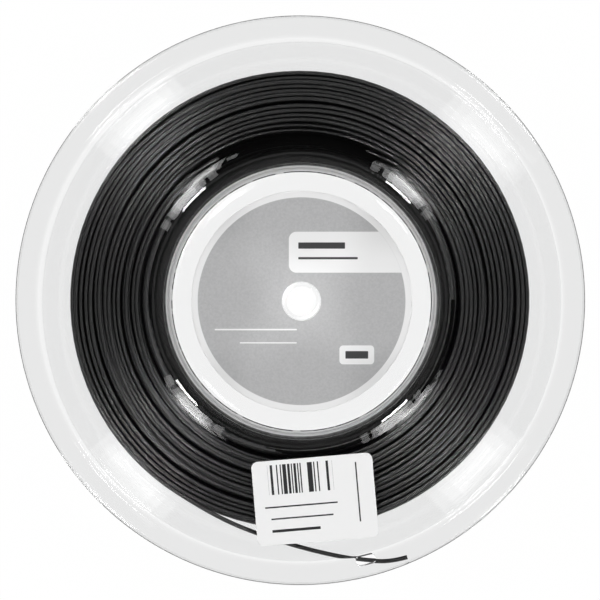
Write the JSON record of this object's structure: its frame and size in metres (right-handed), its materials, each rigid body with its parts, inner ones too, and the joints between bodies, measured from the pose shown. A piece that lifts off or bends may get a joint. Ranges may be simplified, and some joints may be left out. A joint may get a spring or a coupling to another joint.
{
  "type": "string reel",
  "caption": "Clear plastic spool with flat flanges, an open cup-shaped hub and a central bore, wound with black racket string whose free end lies under the front flange.",
  "frame": {"origin": "centre of the rear flange's outer face, on the reel's axis, at the plane that the reel lies on", "axes": "+Z along the reel's axis from the rear flange to the open front of the hub; -Y towards the sticker on the front flange"},
  "size_m": [0.165, 0.165, 0.045],
  "materials": {
    "clear_plastic": "clear crystal polystyrene, polished mould finish",
    "black_string": "smooth black polyester monofilament, glossy",
    "printed_label": "grey printed paper disc with a white border, satin",
    "white_sticker": "white coated paper sticker, matt"
  },
  "bodies": {
    "root": {"front_flange_and_drum": "clear_plastic", "rear_flange_and_floor": "clear_plastic", "string_core": "black_string", "string_outer_turns": "black_string", "string_tail": "black_string", "hub_label": "printed_label", "flange_sticker": "white_sticker"}
  },
  "joints": []
}
